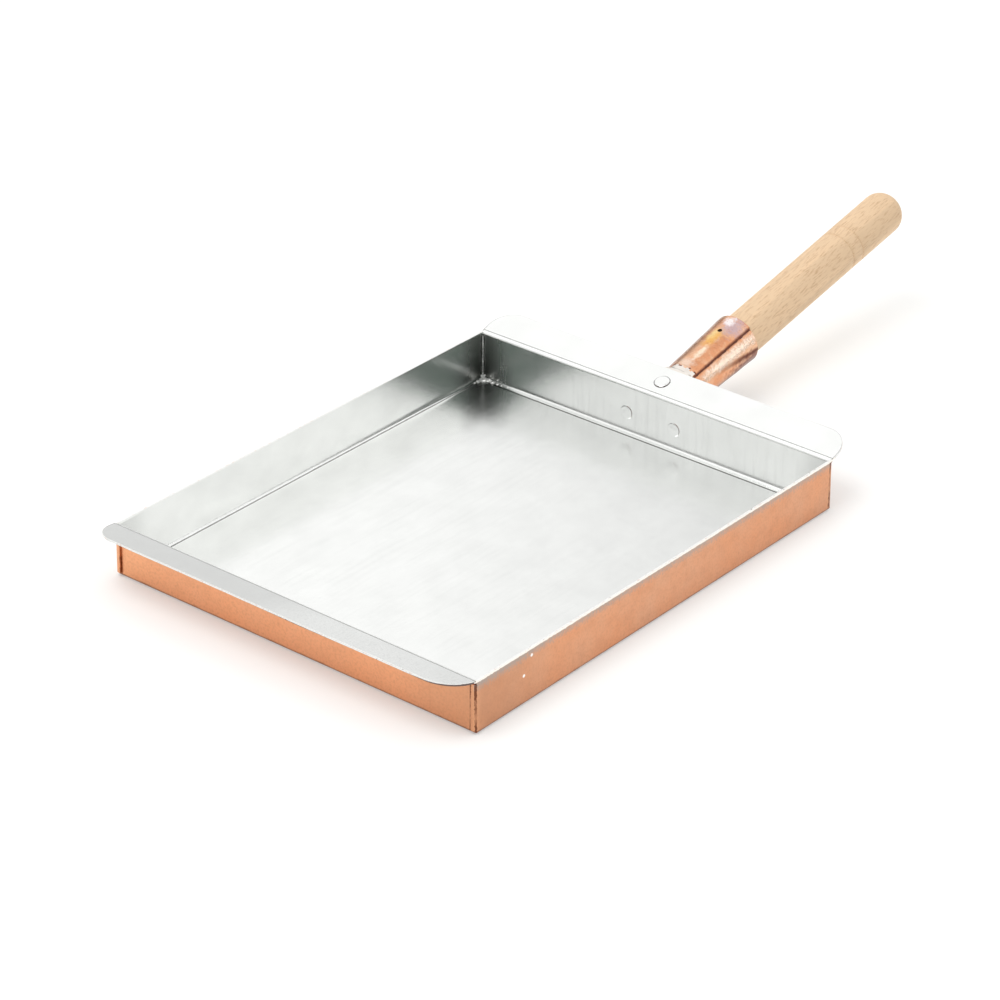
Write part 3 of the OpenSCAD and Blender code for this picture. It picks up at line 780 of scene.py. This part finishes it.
class PAN_OT_solder(Operator):
    """The lumpy solder in the four corners, and the beads at the foot of one"""
    bl_idname = "pan.solder"
    bl_label = "Corner solder"

    def execute(self, context):
        mat = lumpy_solder("solder, run in by hand", context.scene.pan_solder.solder)
        for seed, (side, end, name) in enumerate((
                (-1, -1, "front_left"), (1, -1, "front_right"),
                (-1, 1, "rear_left"), (1, 1, "rear_right"))):
            self.fillet(context.scene, mat, side, end, name, seed)
        self.beads(mat)
        return {"FINISHED"}

    def fillet(self, scene, mat, side, end, name, seed):
        """The solder up one corner, from one wall's tin round to the other's."""
        sizes = scene.pan_solder
        bottom, top = SHEET + 0.5 * TIN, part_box("corner_solder_" + name)[1].z

        def place(across, up):
            height = bottom + up * (top - bottom)
            # narrower at the top, and widest within 5 mm of the floor
            leg = sizes.leg * (0.45 + 0.4 * ripple(height / (5 * MM), 0, seed + 20)
                               + 0.9 * (1 - ease(0, 5, (height - bottom) / MM)))
            turn = across * math.pi / 2
            # lumps, and a rib 1.1 mm high along the middle
            lump = (sizes.lump * math.sin(2 * turn)
                    * (ripple(across * 3, height / (2.4 * MM), seed + 30) - 0.35)
                    + 1.1 * MM * math.exp(-((across - 0.5) / 0.18) ** 2))
            from_side = leg * (1 - math.cos(turn)) + lump * math.sin(turn)
            from_end = leg * (1 - math.sin(turn)) + lump * math.cos(turn)
            straight = Vector((side * (TIN_X - from_side), end * (TIN_Y - from_end), height))
            return hand_bent(straight, scene.pan_sheet)

        bm = bmesh.new()
        lay_grid(bm, 10, 60, place)
        inward = Vector((-side, -end, 0))
        thicken(bm, 0.45 * MM, lambda face: face.normal.dot(inward) * face.calc_area())
        finish_piece(bm, "solder_" + name, [mat], ["corner_solder_" + name], sharp=60)

    def beads(self, mat):
        """Loose drops of solder along the foot of the rear left corner."""
        bm = bmesh.new()
        for x, y, r in ((-131.5, 161.6, 3.0), (-128.6, 163.2, 2.3), (-124.6, 162.6, 1.7),
                        (-121.0, 162.9, 1.0), (-117.6, 163.0, 0.8), (-112.7, 163.4, 0.9),
                        (-133.0, 158.2, 1.6), (-133.4, 155.2, 0.9)):
            bead = bmesh.ops.create_icosphere(bm, subdivisions=3, radius=r * MM)["verts"]
            for vert in bead:
                # slumped to half its height, and lumpy
                vert.co.z *= 0.5
                vert.co *= 0.8 + 0.45 * ripple(vert.co.x / (1.1 * MM), vert.co.y / (1.1 * MM), x)
            bmesh.ops.translate(bm, verts=bead, vec=(x * MM, y * MM, TIN_Z + 0.1 * r * MM))
        finish_piece(bm, "solder_beads", [mat], [])


class PAN_OT_socket(Operator):
    """The copper socket: a sheet rolled round and lapped, with its tab and wings"""
    bl_idname = "pan.socket"
    bl_label = "Socket"
    # the socket's materials by number
    TINNED, BURNT = 1, 2

    def execute(self, context):
        sizes = context.scene.pan_socket
        bm = bmesh.new()
        self.rolled_sheet(bm, sizes)
        self.tab(bm, sizes)
        self.wings(bm)
        self.residue(bm, sizes)
        mats = (heated_copper("rolled copper, heat-tinted", context.scene.pan_sheet.copper),
                wiped_tin("tinned tab", colour("#F0E9E1"), 0.2), burnt_flux_and_painted_shade("burnt flux and painted shadow"))
        finish_piece(bm, "copper_socket", mats, ["handle_socket"], sharp=40)
        return {"FINISHED"}

    def radius(self, s, angle, sizes):
        """Distance from the socket's axis to its surface: the outer turn winds outwards from the
        inner one until it stands a sheet's thickness proud at the seam."""
        r = SOCKET_R + SOCKET_FLARE * s / SOCKET_L
        wound = angle - (sizes.seam + math.pi)
        if wound > 0:
            r += 0.5 * SHEET * (1 - math.cos(wound)) * 1.04
        return r

    def at(self, s, angle, r):
        """A point of the socket, its angle counted from the top towards the right."""
        return SOCKET_FRAME @ Vector((r * math.sin(angle), -r * math.cos(angle), s))

    def rolled_sheet(self, bm, sizes):
        """The tube, from its inner edge under the lap round to its outer edge at the seam."""
        first, last = sizes.seam - sizes.lap, sizes.seam + 2 * math.pi

        def place(u, v):
            s = v * SOCKET_L
            angle = first + u * (last - first)
            edge = ease(0.975, 1, u) * (ripple(s / (3 * MM), 0, 41) - 0.6) * 0.9 * MM
            mouth = ease(0.97, 1, v) * ripple(angle * 4, 0, 42) * sizes.ragged
            r = self.radius(s, angle, sizes)
            r += (ripple(angle * 2.2, s / (11 * MM), 43) - 0.62) * sizes.dents
            return angle + edge / r, s - mouth, r

        lay_grid(bm, 96, 50, place)
        self.nail_hole(bm, sizes)
        for vert in bm.verts:
            angle, s, r = vert.co
            vert.co = self.at(s, angle, r)
        # the sheet stops under the flange and at the rear wall
        cut(bm, REAR_FLANGE @ Vector((0, 0, -SHEET - GAP)), REAR_FLANGE.to_3x3() @ UP,
            clear_outer=True)
        cut(bm, Vector((0, HALF_L + GAP, 0)), Vector((0, -1, 0)), clear_outer=True)
        middle = SOCKET_FRAME @ Vector((0, 0, SOCKET_L / 2 - 0.2 * MM))
        thicken(bm, THIN_SHEET, lambda face: math.copysign(
            1, face.normal.dot(face.calc_center_median() - middle)))
        # the seam's edge faces round the tube, and is dark with burnt flux and painted shade
        to_socket = SOCKET_FRAME.inverted()
        for face in bm.faces:
            local = to_socket @ face.calc_center_median()
            turn = math.atan2(local.x, -local.y)
            lean = to_socket.to_3x3() @ face.normal
            round_tube = lean.x * math.cos(turn) + lean.y * math.sin(turn)
            if abs(turn - sizes.seam) < 0.08 and round_tube > 0.7:
                face.material_index = self.BURNT

    def nail_hole(self, bm, sizes):
        """Opens a round hole in the flat sheet, whose points are still (angle, s, radius)."""
        top, s0, hole = 2 * math.pi, 74.4 * MM, 1.55 * MM
        r0 = self.radius(s0, top, sizes)

        def away(co):
            return math.hypot((co.x - top) * r0, co.y - s0)

        near = [e for e in bm.edges if max(away(v.co) for v in e.verts) < 4.5 * MM]
        bmesh.ops.subdivide_edges(bm, edges=near, cuts=2, use_grid_fill=True)
        gone = [f for f in bm.faces if away(f.calc_center_median()) < hole]
        bmesh.ops.delete(bm, geom=gone, context="FACES")
        for vert in bm.verts:
            if vert.is_boundary and away(vert.co) < 2 * hole:
                k = hole / away(vert.co)
                vert.co.x = top + (vert.co.x - top) * k
                vert.co.y = s0 + (vert.co.y - s0) * k

    def tab(self, bm, sizes):
        """The flat tab under the flange, whose outer end runs down onto the rolled sheet."""
        # from 2 mm to 36 mm out along the flange, which ends at about 23 mm
        start, span, flange_end = 2, 34, 23 * MM

        def place(u, v):
            aside, out = 2 * (u - 0.5), (start + v * span) * MM
            # wider and further right where it leaves the flange
            x = (aside * (9.5 + 0.9 * ease(16, 24, out / MM) - 2.2 * ease(25, 32, out / MM))
                 + 2.6 * ease(16, 24, out / MM)) * MM
            flat = REAR_FLANGE @ Vector((x, out, -SHEET - 0.03 * MM))
            s = (out * math.cos(REAR_TILT) / math.cos(SOCKET_TILT)) + 1.5 * MM
            r = self.radius(s, 2 * math.pi, sizes)
            angle = math.asin(max(-1, min(1, x / r)))
            full = angle + (2 * math.pi if angle < sizes.seam else 0)
            laid = self.at(s, angle, self.radius(s, full, sizes) + 0.12 * MM
                           - 0.5 * MM * ease(34.5, 36, out / MM))
            # past the flange the tab bends down over its sides first
            return flat.lerp(laid, ease(25.6 - 1.4 * abs(aside) ** 3, 29.5, out / MM))

        part = bmesh.new()
        lay_grid(part, 14, 30, place)
        up = REAR_FLANGE.to_3x3() @ UP
        thicken(part, THIN_SHEET, lambda face: face.normal.dot(up))
        # tin reached a ragged line across the tab, with burnt flux along it and down the edges
        for face in part.faces:
            local = REAR_FLANGE.inverted() @ face.calc_center_median()
            ragged = 2.6 * MM * ripple(local.x / (2.5 * MM), local.y / (3 * MM), 47)
            tinned = 29.4 * MM + ragged + 0.05 * local.x - local.y
            border = -1 * MM < tinned < 0 and ripple(local.x / (1.7 * MM), 0, 48) > 0.42
            edge = local.y > flange_end and abs(face.normal.dot(up)) < 0.5
            face.material_index = (self.BURNT if border or edge
                                   else self.TINNED if tinned > 0 else 0)
        join(bm, part)

    def wings(self, bm):
        """The wings on the rear wall, as one plate with rounded corners."""
        # its corners' radius, and from it to the plate's middle
        corner, half_w, half_h = 4 * MM, 21 * MM, 4 * MM
        part = bmesh.new()
        plate = bmesh.ops.create_circle(part, cap_ends=True, segments=32, radius=corner)
        for vert in plate["verts"]:
            x, y = vert.co.x, vert.co.y
            vert.co = (x + math.copysign(half_w, x + 1e-9), HALF_L + GAP,
                       y + math.copysign(half_h, y + 1e-9) + WALL_RIVET_Z)
        made = bmesh.ops.extrude_face_region(part, geom=part.faces[:])["geom"]
        bmesh.ops.translate(part, verts=[g for g in made if isinstance(g, bmesh.types.BMVert)],
                            vec=(0, SHEET - 2 * GAP, 0))
        rim = [e for e in part.edges if all(v.co.y > HALF_L + 1 * MM for v in e.verts)]
        bmesh.ops.bevel(part, geom=rim, offset=0.3 * MM, segments=2, affect="EDGES",
                        profile=0.5, material=-1)
        bmesh.ops.recalc_face_normals(part, faces=part.faces)
        join(bm, part)

    def residue(self, bm, sizes):
        """Burnt flux in the foot of the seam, and painted shadow of the seam's step there: a thin
        dark
            line, broken and uneven.
        """
        # from 24 mm along the socket to its mouth
        start, span, seam = 24, 66.0, sizes.seam

        def place(u, v):
            s = (start + span * v) * MM
            width = (0.5 + 1.3 * ripple(s / (2.2 * MM), 0, 51)) * MM
            r = self.radius(s, seam, sizes)
            angle = seam + (u * width - 0.35 * MM) / r
            lift = 0.42 * MM * (1 - u) * ripple(s / (1.7 * MM), u, 52)
            return self.at(s, angle, r + GAP + lift)

        part = bmesh.new()
        lay_grid(part, 3, 110, place)
        up = self.at(50 * MM, seam, 1) - self.at(50 * MM, seam, 0)
        thicken(part, 0.25 * MM, lambda face: face.normal.dot(up))
        for face in part.faces:
            face.material_index = self.BURNT
        join(bm, part)


class PAN_OT_rivets(Operator):
    """The three tinned rivets, with hammered heads"""
    bl_idname = "pan.rivets"
    bl_label = "Rivets"

    def execute(self, context):
        sizes = context.scene.pan_rivets
        mats = (wiped_tin("tinned rivet", context.scene.pan_sheet.tin, 0.18),
                burnt_flux_and_painted_shade("painted shade round a rivet"))
        at = REAR_FLANGE @ Matrix.Translation((0, FLANGE_RIVET, TIN))
        self.rivet(sizes, mats, "flange_rivet", at, sizes.flange_head / 2, 1.1 * MM)
        for side, name in ((-1, "left"), (1, "right")):
            at = (Matrix.Translation((side * WALL_RIVET_X, TIN_Y, WALL_RIVET_Z))
                  @ Matrix.Rotation(math.pi / 2, 4, "X"))
            self.rivet(sizes, mats, "wall_rivet_" + name, at, sizes.wall_head / 2, 0.6 * MM)
        return {"FINISHED"}

    def rivet(self, sizes, mats, node, at, r, h):
        """One rivet, its head of radius r and height h on the tin and its tail behind."""
        grip, shank, tail, tail_h, tail_rim = TIN + 2 * SHEET, 1.9 * MM, 4 * MM, 2 * MM, 0.3 * MM
        # the head's side rises straight as far as its rim, and is domed above it
        rim = 0.35 * h
        head = [(r * math.sin(a), rim + (h - rim) * math.cos(a))
                for a in (math.pi / 2 * i / 10 for i in range(11))]
        foot = [(tail * math.sin(a), -grip - tail_rim - (tail_h - tail_rim) * math.cos(a))
                for a in (math.pi / 2 * (1 - i / 6) for i in range(7))]
        bm = turned(head + [(r, 0), (shank, 0), (shank, -grip), (tail, -grip)] + foot)
        for vert in bm.verts:
            x, y, z = vert.co
            inside = 1 - ease(0.55 * r, r, math.hypot(x, y))
            if z > rim:
                vert.co.z -= (0.25 + inside) * sizes.hammering * ripple(
                    x / (1.9 * MM), y / (1.9 * MM), r / MM + at.translation.x / MM)
        for face in bm.faces:
            x, y, z = face.calc_center_median()
            # painted shade lies all round the flange rivet's rim, but only to the right of the
            # flush ones
            in_painted_shade = 0 < z < rim and math.hypot(x, y) > 0.95 * r
            face.material_index = int(in_painted_shade and (h > 1 * MM or x > 0.1 * r))
        bmesh.ops.transform(bm, matrix=at, verts=bm.verts)
        finish_piece(bm, node + "_head", mats, [node], sharp=50)


class PAN_OT_handle(Operator):
    """The turned beech handle with its two rings"""
    bl_idname = "pan.handle"
    bl_label = "Handle"

    def execute(self, context):
        sizes = context.scene.pan_handle
        start, end = sizes.mouth_d / 2, sizes.end_d / 2
        tip, round_off = 262.65 * MM, 11.6 * MM
        straight = tip - round_off
        rings = [tip - (52.4 + further) * MM for further in (0, 10.4)]
        # the chamfered inner end, and the taper that the socket holds
        profile = [(0, 34.4 * MM), (12.2 * MM, 34.4 * MM), (12.9 * MM, 35.2 * MM),
                   (start, 67.4 * MM), (start, SOCKET_L)]
        # points along the grip every 8 mm, and close together round each ring
        for at in sorted([SOCKET_L + 8 * MM * i for i in range(1, 20)]
                         + [ring + d * MM for ring in rings
                            for d in (-0.75, -0.5, -0.2, 0.2, 0.5, 0.75)]):
            r = start + (end - start) * (at - SOCKET_L) / (straight - SOCKET_L)
            for ring in rings:
                away = abs(at - ring) / MM
                if away < 0.3:
                    r -= sizes.ring_depth
                elif away < 0.6:
                    r -= 0.35 * sizes.ring_depth
            profile.append((r, at))
        for i in range(15):
            a = math.pi / 2 * i / 14
            profile.append((end - round_off * (1 - math.cos(a)),
                            straight + round_off * math.sin(a)))
        profile.append((0, tip))
        bm = turned(profile, steps=96)
        bmesh.ops.transform(bm, matrix=SOCKET_FRAME, verts=bm.verts)
        mat = bare_beech("bare turned beech", sizes.beech, sizes.fleck)
        finish_piece(bm, "beech_handle", [mat], ["handle"], sharp=55)
        return {"FINISHED"}


class PAN_OT_nail(Operator):
    """The nail that holds the handle in its socket"""
    bl_idname = "pan.nail"
    bl_label = "Nail"

    def execute(self, context):
        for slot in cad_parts["handle_nail"].material_slots:
            slot.material = dark_nail("forged steel nail")
        return {"FINISHED"}


class PAN_PT_panel(Panel):
    """Builds the pan piece by piece"""
    bl_idname = "PAN_PT_panel"
    bl_label = "Copper omelette pan"
    bl_space_type = "VIEW_3D"
    bl_region_type = "UI"
    bl_category = "Pan"

    def draw(self, context):
        for operator in OPERATORS:
            self.layout.operator(operator.bl_idname)
        for group in GROUPS:
            box = self.layout.box()
            for name in GROUPS[group].__annotations__:
                box.prop(getattr(context.scene, group), name)


GROUPS = {"pan_sheet": SheetSizes, "pan_solder": SolderSizes, "pan_socket": SocketSizes,
          "pan_rivets": RivetSizes, "pan_handle": HandleSizes, "pan_stage": StageSizes}
OPERATORS = (PAN_OT_stage, PAN_OT_copper, PAN_OT_tin, PAN_OT_solder, PAN_OT_socket,
             PAN_OT_rivets, PAN_OT_handle, PAN_OT_nail)


def register():
    for each in (*GROUPS.values(), *OPERATORS, PAN_PT_panel):
        bpy.utils.register_class(each)
    for name, group in GROUPS.items():
        setattr(bpy.types.Scene, name, PointerProperty(type=group))


def unregister():
    for name in GROUPS:
        delattr(bpy.types.Scene, name)
    for each in reversed((*GROUPS.values(), *OPERATORS, PAN_PT_panel)):
        bpy.utils.unregister_class(each)


def main():
    """Builds everything."""
    register()
    bpy.ops.pan.stage()
    bpy.ops.pan.copper()
    bpy.ops.pan.tin()
    bpy.ops.pan.solder()
    bpy.ops.pan.socket()
    bpy.ops.pan.rivets()
    bpy.ops.pan.handle()
    bpy.ops.pan.nail()


if __name__ == "__main__":
    main()
